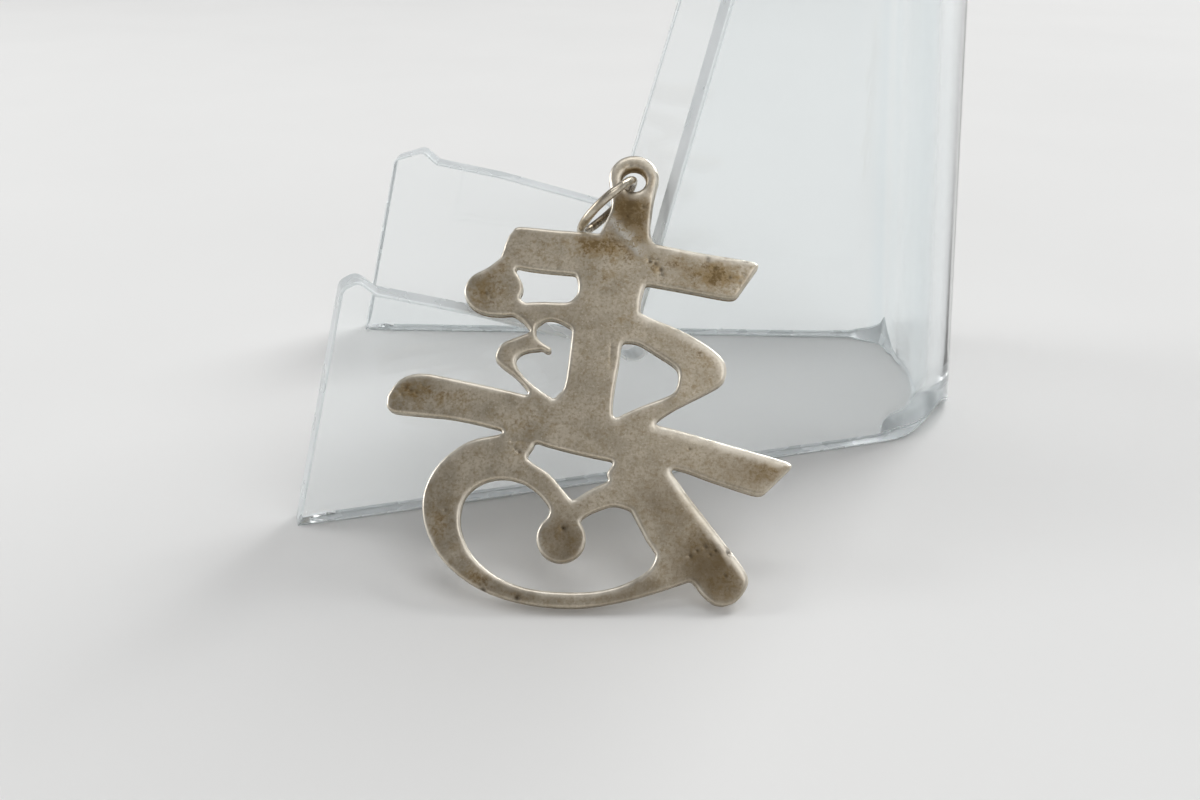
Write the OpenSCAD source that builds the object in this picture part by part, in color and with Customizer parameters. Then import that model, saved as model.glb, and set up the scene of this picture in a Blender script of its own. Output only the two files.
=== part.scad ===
// Silver openwork pendant with a jump ring, leaning on a bent clear easel stand.
// Millimetres. The floor is z = 0, and the origin is under the middle of the whole.

/* [Openwork plate] */
// Thickness of the sawn silver plate
plate_t = 1.2; // [0.8:0.1:1.6]
// Lean of the plate from upright, in degrees
plate_lean = 42.4; // [38:0.1:42.8]
// Where the plate's foot line stands on the floor, along X
plate_x = -5.3; // [-8:0.1:-2]
// Where the plate's foot line stands on the floor, along Y
plate_y = -37.2; // [-40:0.1:-37]
// Rise of the drawing above the foot line
drawing_rise = 0.25; // [0.25:0.05:0.6]
// Radius left by the saw in the crooks between strokes
crook_r = 0.2; // [0.1:0.05:0.3]
// Radius on the outer corners of the strokes
corner_r = 0.3; // [0.1:0.05:0.4]

/* [Ball and tab] */
// Radius of the round drop inside the big loop
ball_r = 2.45; // [2:0.05:2.8]
// Radius of the hanging tab's round end
tab_r = 2.72; // [2.4:0.02:3]
// Diameter of the hole in the tab
tab_hole_d = 2.6; // [2.2:0.1:3]

/* [Jump ring] */
// Radius of the ring, to the middle of the wire
ring_r = 3.85; // [3.7:0.05:4.2]
// Diameter of the ring's wire
wire_d = 0.95; // [0.7:0.05:1.1]
// Twist of the ring about the line between its two crossings, in degrees
ring_twist = 8; // [-10:1:10]

/* [Easel stand] */
// Thickness of the clear sheet
sheet_t = 3; // [2:0.5:4]
// Height of the easel's back
back_h = 90; // [70:1:110]
// Distance of the outer face of the spine from the middle
spine_x = 41.7; // [41.7:0.1:45]
// Where the front and rear wings meet the spine, along Y
spine_y = [0.6, 34.7]; // [0:0.05:40]
// Turn of the front and rear wings from the X axis, in degrees
wing_turn = [15.9, -2.3]; // [-5:0.1:20]
// Length of the front and rear wings, out to their ends
wing_run = [83.3, 83.35]; // [80:0.05:90]
// Outer radius of the front and rear bends
bend_r = [16, 10]; // [6:0.5:18]
// Lean of the spine and its bends towards the feet, in degrees
spine_lean = 5; // [0:0.5:8]
// Lean of the back's front edge, in degrees
back_lean = 16.2; // [12:0.2:18]
// Radius of the relief hole in the corner between foot and back
relief_r = 1.5; // [1:0.1:2.4]
// Radius on the top corners of the back
back_corner_r = 4; // [1:1:8]

/* [Hidden] */

// Points along each span of a stroke's edge
stroke_steps = 3;
// Degrees between the points of a bend or a rounded corner
arc_step = 9;
// How far a cut reaches past the face that it opens
past = 1;

// Strokes of the drawing. Each row is one place along the stroke:
// [x on the first edge, y on the first edge, x on the second edge, y on the second edge].
top_bar = [
    [-9.3, 39.7, -10.5, 36.9],
    [-8.6, 40.15, -9.0, 35.6],
    [-5.0, 39.8, -6.0, 35.0],
    [0.5, 39.3, 0.0, 34.4],
    [5.6, 38.2, 4.8, 33.55],
    [10.5, 37.15, 9.2, 32.7],
    [16.2, 36.1, 13.5, 31.85],
    [16.8, 35.5, 14.5, 32.2]];
left_lobe = [
    [-9.6, 39.4, -7.0, 38.0],
    [-10.2, 37.9, -8.0, 36.5],
    [-10.3, 36.9, -8.9, 35.3],
    [-11.8, 35.5, -8.55, 34.4],
    [-13.6, 34.4, -8.1, 33.4],
    [-14.3, 32.7, -8.15, 32.6],
    [-13.5, 31.0, -8.4, 32.0],
    [-11.6, 30.1, -7.9, 31.5],
    [-8.8, 30.1, -6.5, 31.4]];
second_bar = [
    [-9.5, 31.3, -9.0, 30.1],
    [-7.5, 31.5, -7.9, 29.3],
    [-6.3, 31.55, -6.6, 28.9],
    [-5.4, 31.55, -5.6, 29.55],
    [-4.2, 31.5, -4.3, 29.4],
    [-3.1, 31.6, -2.9, 28.6],
    [-2.3, 32.6, -1.0, 28.0]];
hook_neck = [
    [-8.6, 30.0, -6.3, 29.6],
    [-7.25, 28.4, -6.65, 28.5],
    [-7.2, 27.6, -6.5, 27.6],
    [-6.6, 26.9, -5.9, 26.95],
    [-5.4, 25.8, -4.75, 26.3]];
left_hook = [
    [-7.0, 28.3, -6.2, 26.2],
    [-8.6, 27.65, -7.3, 26.1],
    [-10.2, 26.9, -8.2, 25.75],
    [-10.85, 25.4, -8.7, 25.0],
    [-10.1, 24.4, -8.1, 23.7],
    [-8.7, 23.3, -6.7, 22.3],
    [-7.5, 21.9, -5.0, 21.1],
    [-6.9, 20.6, -3.6, 20.3]];
stem = [
    [-2.7, 35.2, 4.9, 34.4],
    [-2.3, 33.6, 4.75, 33.3],
    [-2.45, 32.2, 4.35, 31.8],
    [-2.9, 31.0, 4.1, 30.2],
    [-2.9, 28.6, 2.4, 27.2],
    [-3.2, 25.5, 2.05, 25.0],
    [-3.7, 22.1, 1.5, 21.8],
    [-4.6, 21.0, 1.3, 19.7],
    [-5.0, 18.0, 1.5, 18.0]];
right_bow = [
    [3.2, 31.0, 2.2, 27.1],
    [5.2, 29.8, 3.9, 26.95],
    [8.2, 28.5, 5.8, 25.75],
    [11.1, 26.75, 7.6, 24.5],
    [12.9, 24.9, 8.1, 23.6],
    [12.75, 22.8, 7.85, 22.1],
    [10.8, 21.5, 7.1, 21.3],
    [8.0, 20.05, 4.2, 20.15],
    [6.1, 18.8, 2.0, 19.1],
    [4.6, 17.4, 0.9, 18.3]];
mid_bar = [
    [-21.8, 21.2, -21.8, 20.1],
    [-20.6, 23.0, -21.0, 19.5],
    [-18.4, 23.7, -18.4, 19.2],
    [-15.0, 23.1, -14.5, 18.75],
    [-9.5, 21.85, -10.0, 17.65],
    [-4.0, 20.4, -5.0, 15.9],
    [1.5, 19.0, 1.4, 14.4],
    [6.9, 17.9, 7.4, 13.65],
    [12.5, 16.25, 11.0, 12.4],
    [18.8, 14.35, 15.3, 10.95],
    [19.35, 13.8, 16.4, 11.0]];
big_loop = [
    [-8.3, 17.7, -7.5, 12.2],
    [-10.6, 17.1, -9.7, 12.6],
    [-13.4, 16.4, -11.8, 12.15],
    [-16.1, 14.3, -13.3, 10.9],
    [-17.55, 11.5, -13.85, 9.2],
    [-17.5, 8.3, -13.7, 7.2],
    [-15.9, 4.9, -12.5, 4.9],
    [-13.0, 2.3, -10.2, 2.9],
    [-9.5, 0.7, -7.2, 1.7],
    [-5.5, -0.1, -3.6, 1.3],
    [-1.5, -0.2, -0.4, 1.4],
    [2.5, 0.45, 2.4, 2.1],
    [5.6, 1.3, 4.8, 3.5],
    [8.9, 2.4, 5.6, 5.1]];
left_arm = [
    [-6.3, 17.4, -10.0, 16.0],
    [-6.75, 15.8, -9.6, 13.0],
    [-7.3, 14.65, -7.6, 12.1],
    [-5.1, 13.1, -6.2, 11.1],
    [-3.6, 11.35, -5.2, 9.9],
    [-2.7, 10.3, -4.8, 8.9]];
right_arm = [
    [-4.4, 10.0, -2.4, 7.9],
    [-2.8, 10.35, -1.5, 8.75],
    [-1.3, 11.3, -0.2, 9.4],
    [0.5, 12.2, 1.5, 9.85],
    [2.4, 13.0, 3.2, 9.3]];
ball_neck = [
    [-5.0, 9.6, -2.0, 9.2],
    [-5.15, 8.8, -1.95, 8.3],
    [-6.0, 7.8, -1.6, 7.4]];
diagonal = [
    [1.5, 15.5, 7.0, 15.0],
    [1.3, 14.1, 7.15, 13.4],
    [0.65, 12.9, 7.9, 12.2],
    [2.0, 11.2, 8.7, 11.0],
    [3.1, 9.3, 10.1, 9.1],
    [5.45, 5.1, 12.6, 5.7],
    [8.9, 2.35, 14.2, 3.4],
    [9.9, 1.1, 14.45, 2.0],
    [11.0, 0.15, 13.4, 0.5],
    [12.0, -0.05, 12.5, 0.1]];
hanging_tab = [
    [-0.3, 38.6, 6.2, 37.4],
    [0.4, 40.3, 5.4, 39.2],
    [1.2, 42.2, 5.6, 41.6],
    [1.2, 43.8, 5.85, 43.3],
    [1.05, 45.4, 6.3, 45.2]];
STROKES = [top_bar, left_lobe, second_bar, hook_neck, left_hook, stem, right_bow, mid_bar,
           big_loop, left_arm, right_arm, ball_neck, diagonal, hanging_tab];

// Middle of the ball, and of the tab's round end and its hole, on the drawing
ball_at = [-3.85, 6.6];
tab_at = [3.7, 45.9];
hole_at = [3.7, 45.6];

// The ring passes through the plate here: in the hole, and over the top bar's edge
ring_in = [3.6, 45.5];
ring_out = [-1.95, 40.3];
ring_chord = norm(ring_in - ring_out);
ring_chord_turn = atan2(ring_in[1] - ring_out[1], ring_in[0] - ring_out[0]);
ring_set_back = sqrt(ring_r * ring_r - ring_chord * ring_chord / 4);

// Side views of the front and rear wings, along the sawn edge from the end to the corner under
// the back. Each row is [distance from the wing's end, height, corner radius].
FOOT_EDGES = [
    [[0, 0, 0], [7.3, 26.7, 1.2], [9.1, 27.5, 1.2], [10.9, 25.8, 0.6], [20.6, 22.75, 12], [37.9, 16.3, 0]],
    [[0, 0, 0], [6.7, 26.3, 1.2], [11, 27.6, 1.2], [12.9, 25.8, 0.6], [22.3, 23.9, 12], [38.7, 19.4, 0]]];
// The relief hole's middle, from the corner under the back
relief_at = [0.6, 0.5];

// One point of a smooth curve from b to c, with a and d as its neighbours
function curve_point(a, b, c, d, t) =
    ((2 * b) + (c - a) * t + (2 * a - 5 * b + 4 * c - d) * t * t + (3 * b - a - 3 * c + d) * t * t * t) / 2;

// A smooth curve through the points p
function smooth(p) = concat(
    [for (i = [0:len(p) - 2], k = [0:stroke_steps - 1])
        curve_point(p[max(i - 1, 0)], p[i], p[i + 1], p[min(i + 2, len(p) - 1)], k / stroke_steps)],
    [p[len(p) - 1]]);

function backwards(p) = [for (i = [len(p) - 1:-1:0]) p[i]];

// Points on an arc about a centre
function arc(centre, r, from, to) =
    let (n = max(1, ceil(abs(to - from) / arc_step)))
    [for (i = [0:n]) centre + r * [cos(from + (to - from) * i / n), sin(from + (to - from) * i / n)]];

function unit(v) = v / norm(v);

// The corner at b, between a and c, as an arc of radius r
function round_corner(a, b, c, r) =
    let (u = unit(a - b), v = unit(c - b), half = acos(u * v) / 2,
         middle = b + unit(u + v) * r / sin(half),
         p = b + u * r / tan(half), q = b + v * r / tan(half),
         from = atan2(p[1] - middle[1], p[0] - middle[0]),
         sweep = atan2(q[1] - middle[1], q[0] - middle[0]) - from,
         turn = sweep > 180 ? sweep - 360 : (sweep < -180 ? sweep + 360 : sweep))
    arc(middle, r, from, from + turn);

// One brush stroke, between its two smooth edges
module stroke(rows) {
    polygon(concat(
        smooth([for (row = rows) [row[0], row[1]]]),
        backwards(smooth([for (row = rows) [row[2], row[3]]]))));
}

// All the strokes together, with the saw's small radii in crooks and corners
module drawing() {
    offset(r = corner_r, $fn = 16) offset(r = -corner_r - crook_r, $fn = 16) offset(r = crook_r, $fn = 16) {
        for (rows = STROKES) stroke(rows);
        translate(ball_at) circle(r = ball_r, $fn = 48);
        translate(tab_at) circle(r = tab_r, $fn = 48);
    }
}

// Puts children that are drawn on the plate's back face where the leaning plate is
module on_plate() {
    translate([plate_x, plate_y, 0]) rotate([90 - plate_lean, 0, 0]) translate([0, drawing_rise, 0]) children();
}

// The sawn plate, with its soldered hanging tab and the tab's drilled hole
module openwork_plate() {
    color([0.78, 0.75, 0.70]) on_plate() difference() {
        linear_extrude(height = plate_t) drawing();
        translate([hole_at[0], hole_at[1], -past]) cylinder(d = tab_hole_d, h = plate_t + 2 * past, $fn = 48);
    }
}

// The loose ring, through the tab's hole and resting over the top bar's edge
module jump_ring() {
    middle = (ring_in + ring_out) / 2;
    color([0.85, 0.84, 0.80]) on_plate() translate([middle[0], middle[1], plate_t / 2])
        rotate([0, 0, ring_chord_turn]) rotate([90 + ring_twist, 0, 0]) translate([0, -ring_set_back, 0])
        rotate_extrude($fn = 64) translate([ring_r, 0]) circle(d = wire_d, $fn = 24);
}

// Bottom left end of a wing's outer face, in plan
function wing_end(i) = [spine_x, spine_y[i]] - wing_run[i] * [cos(wing_turn[i]), sin(wing_turn[i])];

// Plan of the bent sheet: up the outer face and back along the inner face. It is narrowed along X
// so that the floor cuts the leaning sheet at the stated widths.
module sheet_plan() {
    front_corner = [spine_x, spine_y[0]];
    rear_corner = [spine_x, spine_y[1]];
    front_in = sheet_t * [-sin(wing_turn[0]), cos(wing_turn[0])];
    rear_in = sheet_t * [sin(wing_turn[1]), -cos(wing_turn[1])];
    inner_x = spine_x - sheet_t;
    inner_front = [inner_x, (wing_end(0) + front_in)[1]
                   + (inner_x - (wing_end(0) + front_in)[0]) * tan(wing_turn[0])];
    inner_rear = [inner_x, (wing_end(1) + rear_in)[1]
                  + (inner_x - (wing_end(1) + rear_in)[0]) * tan(wing_turn[1])];
    outline = concat(
        [wing_end(0)],
        round_corner(wing_end(0), front_corner, rear_corner, bend_r[0]),
        round_corner(front_corner, rear_corner, wing_end(1), bend_r[1]),
        [wing_end(1), wing_end(1) + rear_in],
        round_corner(wing_end(1) + rear_in, inner_rear, inner_front, bend_r[1] - sheet_t),
        round_corner(inner_rear, inner_front, wing_end(0) + front_in, bend_r[0] - sheet_t),
        [wing_end(0) + front_in]);
    polygon([for (p = outline) [p[0] * cos(spine_lean), p[1]]]);
}

// The bent sheet, leaning towards the feet and cut level at the floor and at the back's top
module leaning_sheet() {
    below = spine_x * tan(spine_lean) + past;
    reach = spine_x + back_h;
    intersection() {
        rotate([0, -spine_lean, 0]) translate([0, 0, -below])
            linear_extrude(height = back_h / cos(spine_lean) + 2 * below) sheet_plan();
        translate([-reach, -reach, 0]) cube([2 * reach, 2 * reach, back_h]);
    }
}

// What is sawn away in front of the back and above the foot of wing i
module wing_cut(i) {
    foot = FOOT_EDGES[i];
    last = len(foot) - 1;
    corner = xy(foot[last]);
    top = corner + (back_h - corner[1]) * [tan(back_lean), 1];
    foot_line = [for (k = [1:last - 1])
        each round_corner(xy(foot[k - 1]), xy(foot[k]), xy(foot[k + 1]), foot[k][2])];
    below = xy(foot[1]) * past / foot[1][1];
    clear = [top[0] + 3 * back_corner_r, back_h];
    left = -2 * past - back_h * tan(spine_lean);
    polygon(concat(
        [[left, -past], -below],
        foot_line,
        [corner],
        round_corner(corner, top, clear, back_corner_r),
        [clear, clear + [0, past], [left, back_h + past]]));
}

function xy(row) = [row[0], row[1]];

// Stands a wing's side view up at wing i, cutting through the sheet
module at_wing(i) {
    reach = 2 * sheet_t;
    translate([wing_end(i)[0], wing_end(i)[1], 0]) rotate([0, 0, wing_turn[i]])
        translate([0, reach, 0]) rotate([90, 0, 0]) linear_extrude(height = 2 * reach) children();
}

// The easel: one clear sheet, bent twice, with a lipped foot and a leaning back on each side
module easel_stand() {
    color([0.86, 0.93, 0.94, 0.35]) difference() {
        leaning_sheet();
        for (i = [0, 1]) {
            at_wing(i) wing_cut(i);
            at_wing(i) translate(xy(FOOT_EDGES[i][len(FOOT_EDGES[i]) - 1]) + relief_at)
                circle(r = relief_r, $fn = 32);
        }
    }
}

openwork_plate();
jump_ring();
easel_stand();
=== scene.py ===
"""Looks for a silver openwork pendant that leans on a clear bent easel.

Lengths are in metres unless a comment says mm."""
import math

import bpy
import numpy as np
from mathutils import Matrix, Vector, geometry, kdtree, noise


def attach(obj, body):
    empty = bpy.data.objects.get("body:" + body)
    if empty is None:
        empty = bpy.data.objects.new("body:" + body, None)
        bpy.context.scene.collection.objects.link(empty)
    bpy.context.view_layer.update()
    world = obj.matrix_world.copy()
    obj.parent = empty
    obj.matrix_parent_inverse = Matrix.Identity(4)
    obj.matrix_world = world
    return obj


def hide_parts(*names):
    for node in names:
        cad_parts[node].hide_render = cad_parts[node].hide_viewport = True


MM = 0.001
# Heights and lengths, in mm, that count as equal in the part's solids, and as nothing in a mesh made here
NEAR, HAIR = 0.01, 1e-5
# How many points are measured against an outline at a time
BLOCK = 400

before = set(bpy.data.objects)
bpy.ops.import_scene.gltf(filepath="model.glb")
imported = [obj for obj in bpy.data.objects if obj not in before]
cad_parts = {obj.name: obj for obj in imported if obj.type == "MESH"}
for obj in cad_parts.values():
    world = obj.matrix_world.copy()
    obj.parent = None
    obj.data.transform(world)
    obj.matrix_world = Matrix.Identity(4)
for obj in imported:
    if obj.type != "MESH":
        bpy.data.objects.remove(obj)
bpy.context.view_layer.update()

# The plate's place, as in the part's source, in millimetres and degrees
LEAN = math.radians(42.4)
PLATE_AT, RISE = np.array([-5.3, -37.2, 0]), 0.25
PLATE_T = 1.2
PLATE_UP = np.array([0, math.sin(LEAN), math.cos(LEAN)])
PLATE_FRONT = np.array([0, -math.cos(LEAN), math.sin(LEAN)])
# The tab's hole, the radius of its round end, and how high on the drawing it leaves the plate, in mm
TAB_HOLE, TAB_HOLE_R, TAB_END_R, TAB_FOOT = np.array([3.7, 45.6]), 1.3, 2.9, 37.8

# The plate's mesh, in mm: steps along the outline and across the faces, the height of its rows as a share of
# the step, and the rings of points inside the outline that carry its rounded edge
BORDER_STEP, FACE_STEP, ROW_SHARE = 0.2, 0.42, 0.866
PLATE_RINGS = (0.05, 0.12, 0.2, 0.3, 0.44, 0.62)
# How far from the outline its direction still matters, in mm
EDGE_REACH = 1.5


def camera():
    """The photograph's view: level, looking down on the pendant."""
    data = bpy.data.cameras.new("camera")
    data.lens, data.sensor_width, data.clip_start = 34.35, 36, 0.005
    cam = bpy.data.objects.new("camera", data)
    cam.location = (-0.0053, -0.1289, 0.0675)
    cam.rotation_euler = (math.radians(64), 0, 0)
    bpy.context.scene.collection.objects.link(cam)
    bpy.context.scene.camera = cam


camera()


# Geometry

def from_plate(xy, w):
    """Row-frame points, in metres, for the drawing's points and heights above the plate's back, in mm."""
    xy = np.asarray(xy, float)
    across = PLATE_AT + xy[:, :1] * np.array([1.0, 0, 0])
    return (across + (xy[:, 1:] + RISE) * PLATE_UP + np.asarray(w)[:, None] * PLATE_FRONT) * MM


def to_plate(points):
    """The drawing's points and heights above the plate's back, in mm, for row-frame points in metres."""
    p = np.asarray(points, float) / MM - PLATE_AT
    return np.stack([p[:, 0], p @ PLATE_UP - RISE], 1), p @ PLATE_FRONT


def face_loops(node):
    """The closed outlines of the plate's front face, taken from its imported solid, in mm."""
    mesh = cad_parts[node].data
    co = np.array([v.co for v in mesh.vertices])
    xy, w = to_plate(co)
    # Vertices at the same micrometre count as one
    key, fine = {}, 1000
    index = [key.setdefault((round(a * fine), round(b * fine), round(c * fine)), len(key))
             for (a, b), c in zip(xy.tolist(), w.tolist())]
    place = {k: xy[i] for i, k in reversed(list(enumerate(index)))}
    turns = {}
    for poly in mesh.polygons:
        if min(w[i] for i in poly.vertices) < PLATE_T - NEAR:
            continue
        ids = [index[i] for i in poly.vertices]
        for a, b in zip(ids, ids[1:] + ids[:1]):
            if a != b:
                edge = min(a, b), max(a, b)
                turns[edge] = turns.get(edge, 0) + (1 if a < b else -1)
    follow = {}
    for (a, b), n in turns.items():
        if n:
            follow[a if n > 0 else b] = b if n > 0 else a
    loops = []
    while follow:
        loop, at = [], next(iter(follow))
        while at in follow:
            loop.append(place[at])
            at = follow.pop(at)
        loops.append(np.array(loop))
    return sorted(loops, key=lambda l: -abs(area(l)))


def area(loop):
    """The loop's area, negative where it runs clockwise."""
    x, y = loop[:, 0], loop[:, 1]
    return 0.5 * float(np.sum(x * np.roll(y, -1) - y * np.roll(x, -1)))


def wound(loops):
    """The loops, the outer one first, turned so that the material lies on their left."""
    return [l if (area(l) > 0) == (k == 0) else l[::-1] for k, l in enumerate(loops)]


def resample(loop, step):
    """The loop with points about step apart, lightly smoothed."""
    closed = np.vstack([loop, loop[:1]])
    run = np.concatenate([[0], np.cumsum(np.linalg.norm(np.diff(closed, axis=0), axis=1))])
    n = max(12, int(round(run[-1] / step)))
    at = np.arange(n) * run[-1] / n
    out = np.stack([np.interp(at, run, closed[:, k]) for k in (0, 1)], 1)
    return 0.5 * out + 0.25 * (np.roll(out, 1, 0) + np.roll(out, -1, 0))


def depth_inside(points, loops):
    """Distance of each point from the outline, in mm, positive inside."""
    a = np.vstack(loops)
    b = np.vstack([np.roll(l, -1, 0) for l in loops])
    d = b - a
    long2 = np.maximum((d ** 2).sum(1), 1e-12)
    out = np.empty(len(points))
    for i in range(0, len(points), BLOCK):
        p = points[i:i + BLOCK, None, :]
        t = np.clip(((p - a) * d).sum(2) / long2, 0, 1)
        far = np.sqrt(((p - a - t[..., None] * d) ** 2).sum(2)).min(1)
        x, y = p[..., 0], p[..., 1]
        over = (a[:, 1] > y) != (b[:, 1] > y)
        cross = a[:, 0] + (y - a[:, 1]) / np.where(over, d[:, 1], 1) * d[:, 0]
        inside = ((over & (x < cross)).sum(1) % 2) == 1
        out[i:i + BLOCK] = np.where(inside, far, -far)
    return out


def inward(loop):
    """Unit vectors into the material, for a loop with the material on its left."""
    t = np.roll(loop, -1, 0) - np.roll(loop, 1, 0)
    t /= np.linalg.norm(t, axis=1)[:, None]
    return np.stack([-t[:, 1], t[:, 0]], 1)


def waves(points, size, seed, octaves=2):
    """Smooth noise from -1 to 1 at 2-D or 3-D points in mm, with features about size mm wide."""
    out = np.empty(len(points))
    for i, p in enumerate(np.asarray(points, float) / size):
        out[i] = noise.fractal((p[0], p[1], (p[2] if len(p) > 2 else 0) + seed * 7.3), 1, 2, octaves,
                               noise_basis="PERLIN_ORIGINAL")
    return out


def rounding(depth, radius, drop):
    """How far a face falls off towards the outline, as a quarter of an ellipse."""
    inside = np.clip(1 - depth / radius, 0, 1)
    return drop * (1 - np.sqrt(np.maximum(1 - inside ** 2, 0)))


def slab(name, loops, ring_depths, inner, front, back, wall, place, edge_depth):
    """A thick sheet with worked edges. The outline's loops have the material on their left. front and back
    give the height of each face at a point, wall the rows between them as shares and inward shifts, and
    place puts points and heights in the row frame. Faces nearer the outline than edge_depth get the edge's
    material. Returns the object with its drawing points, heights and distances from the outline, in mm."""
    border = np.vstack(loops)
    rings, ties, count = [border], [], len(border)
    for d in ring_depths:
        for l in loops:
            moved = l + d * inward(l)
            kept = depth_inside(moved, loops) > d * 0.9
            number = count + np.cumsum(kept) - 1
            ties += [(number[i - 1], number[i]) for i in range(len(l)) if kept[i - 1] and kept[i]]
            rings.append(moved[kept])
            count += int(kept.sum())
    inner = inner[depth_inside(inner, loops) > ring_depths[-1] * 1.5]
    points = np.vstack(rings + [inner])
    edges, first = [], 0
    for l in loops:
        n = len(l)
        edges += [(first + i, first + (i + 1) % n) for i in range(n)]
        first += n
    edges += ties
    made = geometry.delaunay_2d_cdt([Vector(p) for p in points], edges, [], 0, HAIR)
    xy = np.array([tuple(v) for v in made[0]])
    where = {}
    for new, olds in enumerate(made[3]):
        for old in olds:
            where[old] = new
    faces = np.array(made[2])
    middle = xy[faces].mean(1)
    faces = faces[depth_inside(middle, loops) > HAIR]
    turned = np.cross(xy[faces[:, 1]] - xy[faces[:, 0]], xy[faces[:, 2]] - xy[faces[:, 0]]) < 0
    faces[turned] = faces[turned][:, ::-1]
    depth = np.maximum(depth_inside(xy, loops), 0)
    on_border = np.zeros(len(xy), bool)
    on_border[[where[i] for i in range(len(border))]] = True
    depth[on_border] = 0
    n = len(xy)
    w_front, w_back = front(xy, depth), back(xy, depth)
    all_xy, all_w, all_d = [xy, xy], [w_front, w_back], [depth, depth]
    polys = [tuple(f) for f in faces.tolist()] + [tuple(n + i for i in f[::-1]) for f in faces.tolist()]
    base = 2 * n
    first = 0
    for l in loops:
        m = len(l)
        ids = [where[first + i] for i in range(m)]
        rows = [[n + i for i in ids]]
        normal = inward(l)
        for share, shift in wall(l):
            w = w_back[ids] * (1 - share) + w_front[ids] * share
            all_xy.append(xy[ids] + normal * shift[:, None])
            all_w.append(w)
            all_d.append(np.zeros(m))
            rows.append(list(range(base, base + m)))
            base += m
        rows.append(ids)
        for low, high in zip(rows, rows[1:]):
            polys += [(low[i], low[(i + 1) % m], high[(i + 1) % m], high[i]) for i in range(m)]
        first += m
    all_xy, all_w, all_d = np.vstack(all_xy), np.concatenate(all_w), np.concatenate(all_d)
    mesh = bpy.data.meshes.new(name)
    mesh.from_pydata(place(all_xy, all_w).tolist(), [], polys)
    mesh.shade_smooth()
    kinds = np.zeros(len(polys), np.int32)
    kinds[2 * len(faces):] = 1
    kinds[:2 * len(faces)][np.tile(all_d[faces].max(1) < edge_depth, 2)] = 1
    mesh.polygons.foreach_set("material_index", kinds)
    mesh.validate()
    obj = bpy.data.objects.new(name, mesh)
    bpy.context.scene.collection.objects.link(obj)
    return obj, all_xy, all_w, all_d


def attribute(obj, name, values):
    """Stores a share from 0 to 1 at each vertex, for the materials."""
    layer = obj.data.attributes.new(name, "FLOAT", "POINT")
    layer.data.foreach_set("value", np.clip(values, 0, 1).astype(np.float32))


def spots(xy, places):
    """How much each point lies in soft spots given as (x, y, radius across, radius up, strength), in mm."""
    out = np.zeros(len(xy))
    for x, y, rx, ry, strength in places:
        q = ((xy[:, 0] - x) / rx) ** 2 + ((xy[:, 1] - y) / ry) ** 2
        out = np.maximum(out, strength * np.exp(-q))
    return out


def along(xy, a, b, width):
    """How much each point lies on the line from a to b, in mm."""
    a, b = np.array(a, float), np.array(b, float)
    t = np.clip(((xy - a) @ (b - a)) / ((b - a) @ (b - a)), 0, 1)
    far = np.linalg.norm(xy - a - t[:, None] * (b - a), axis=1)
    return np.exp(-(far / width) ** 2)


# Dents of the plate's face, in mm: x, y, radius, depth, and how dark their ground is
PITS = [
    (-3.65, 7.55, 0.21, 0.12, 1.0), (-8.1, 0.75, 0.26, 0.10, 0.9), (-11.3, 2.3, 0.18, 0.07, 0.6),
    (-11.7, 2.0, 0.14, 0.05, 0.5), (-15.4, 9.4, 0.2, 0.05, 0.3), (-8.2, 15.3, 0.17, 0.09, 0.8),
    (-8.6, 15.6, 0.15, 0.05, 0.45), (10.3, 5.7, 0.2, 0.07, 0.5), (11.3, 5.3, 0.16, 0.06, 0.6),
    (9.5, 5.3, 0.14, 0.04, 0.4), (10.8, 4.9, 0.14, 0.04, 0.45), (8.8, 4.8, 0.2, 0.05, 0.4),
    (12.2, 2.8, 0.16, 0.04, 0.4), (-11.4, 1.45, 0.3, 0.3, 0.9), (12.7, 5.1, 0.2, 0.2, 0.8),
    (5.2, 36.0, 0.2, 0.08, 0.6), (5.8, 35.7, 0.18, 0.07, 0.5), (6.4, 35.1, 0.18, 0.08, 0.6),
    (6.3, 34.5, 0.18, 0.06, 0.5), (11.4, 36.4, 0.2, 0.07, 0.6), (15.5, 36.0, 0.2, 0.06, 0.5),
    (-19.9, 22.1, 0.22, 0.05, 0.45), (-19.4, 21.8, 0.2, 0.06, 0.5), (-18.8, 21.5, 0.16, 0.04, 0.4),
    (-20.3, 21.4, 0.14, 0.04, 0.35), (-18.2, 22.3, 0.13, 0.03, 0.3), (-4.4, 35.3, 0.18, 0.03, 0.3),
    (1.2, 26.4, 0.16, 0.03, 0.25), (9.0, 15.6, 0.16, 0.03, 0.25), (-12.0, 32.4, 0.2, 0.04, 0.35),
    (-11.5, 31.9, 0.16, 0.04, 0.3), (3.3, 47.3, 0.16, 0.05, 0.6), (4.6, 42.3, 0.2, 0.05, 0.35),
    (2.9, 41.2, 0.16, 0.04, 0.4), (13.6, 34.2, 0.2, 0.04, 0.35), (12.1, 35.2, 0.15, 0.04, 0.35)]

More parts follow.
